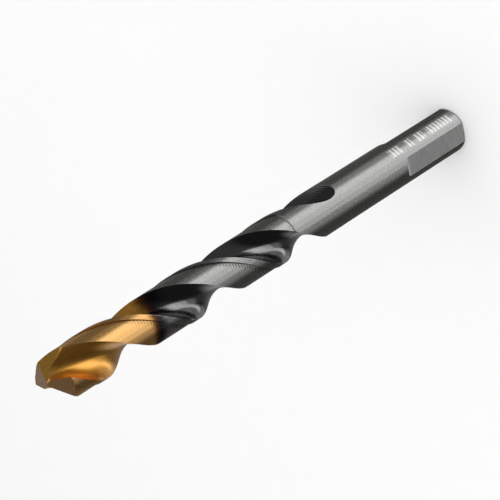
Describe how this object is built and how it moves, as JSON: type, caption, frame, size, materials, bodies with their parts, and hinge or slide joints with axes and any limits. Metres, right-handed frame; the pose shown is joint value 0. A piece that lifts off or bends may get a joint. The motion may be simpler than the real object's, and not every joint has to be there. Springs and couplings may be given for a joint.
{
  "type": "twist drill bit",
  "caption": "Jobber-length twist drill bit with a right-hand helix, split point, straight shank and flats for the chuck jaws.",
  "frame": {"origin": "centre of the flat end of the shank", "axes": "+Z along the drill's axis, from the shank end to the point; +X along the outward normal of the first jaw flat"},
  "size_m": [0.011, 0.011, 0.142],
  "materials": {
    "drill_steel": "ground and tempered: gold-toned point, dark glossy flutes, grey shank"
  },
  "bodies": {
    "root": {"drill_bit": "drill_steel"}
  },
  "joints": []
}
